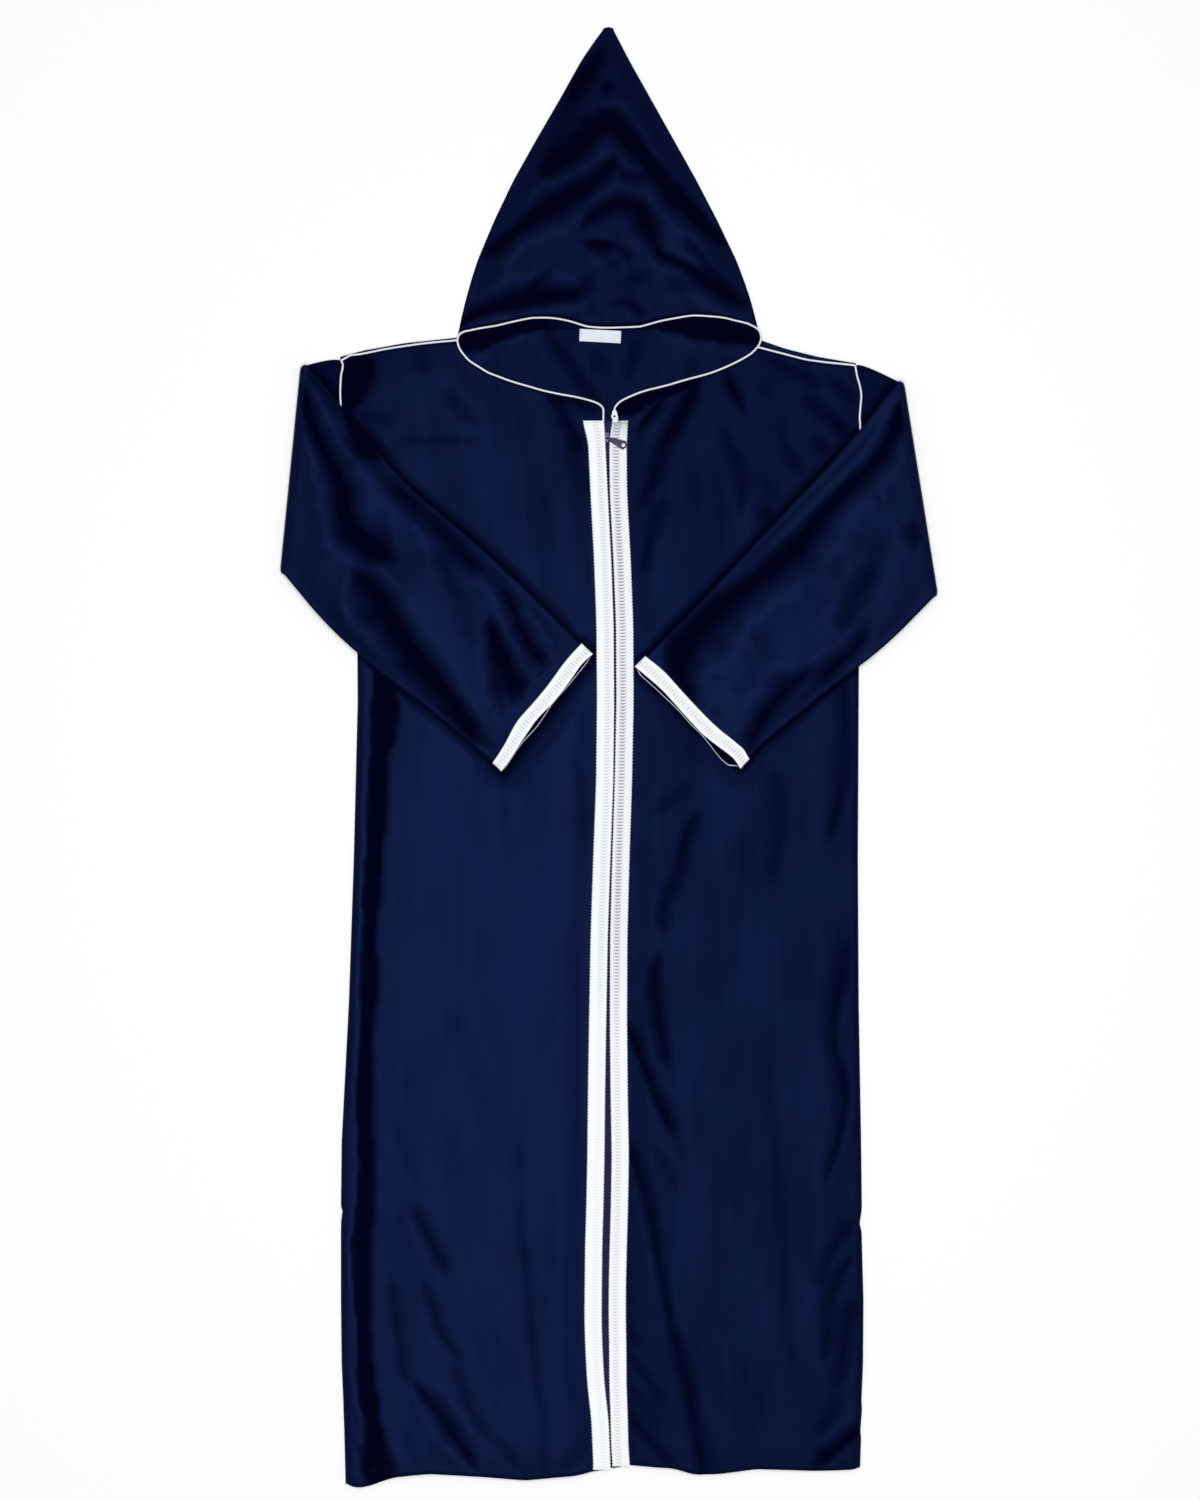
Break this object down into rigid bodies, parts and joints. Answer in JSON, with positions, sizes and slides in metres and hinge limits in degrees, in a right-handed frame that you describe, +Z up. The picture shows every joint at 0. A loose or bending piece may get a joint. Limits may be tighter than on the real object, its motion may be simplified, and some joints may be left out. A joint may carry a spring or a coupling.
{
  "type": "djellaba robe",
  "caption": "Long hooded robe laid flat and face up, with a zip front edged in braid, corded neck, shoulder and armhole seams, and sleeves folded in over the front.",
  "frame": {"origin": "on the surface the robe lies on, under the middle of its outline", "axes": "+Z up from the surface, +Y from the hem towards the hood's tip, +X towards the wearer's left sleeve"},
  "size_m": [0.8216, 1.8248, 0.0178],
  "materials": {
    "navy_satin": "satin weave with a soft sheen",
    "white_braid": "ribbed braid",
    "white_cord": "smooth covered cord",
    "label_tape": "woven tape",
    "zip_tape": "twill tape",
    "zip_coil": "moulded coil",
    "zip_metal": "semi-gloss",
    "tab_metal": "semi-gloss"
  },
  "bodies": {
    "robe": {"back_panel": "navy_satin", "front_right": "navy_satin", "front_left": "navy_satin", "sleeve_right": "navy_satin", "sleeve_left": "navy_satin", "hood": "navy_satin", "cuff_band_right": "white_braid", "cuff_band_left": "white_braid", "band_right": "white_braid", "band_left": "white_braid", "piping_neck": "white_cord", "piping_shoulder_right": "white_cord", "piping_shoulder_left": "white_cord", "piping_armhole_right": "white_cord", "piping_armhole_left": "white_cord", "collar_loop": "white_cord", "neck_label": "label_tape", "zip_tape_right": "zip_tape", "zip_tape_left": "zip_tape", "zip_coil": "zip_coil", "zip_slider": "zip_metal"},
    "pull_tab": {"zip_pull": "tab_metal"}
  },
  "joints": [
    {"name": "pull_lift", "type": "hinge", "parent": "robe", "child": "pull_tab", "pos_m": [-0.0026, 0.3983, 0.0082], "axis": [0, -1, 0], "range_deg": [0, 180]}
  ]
}
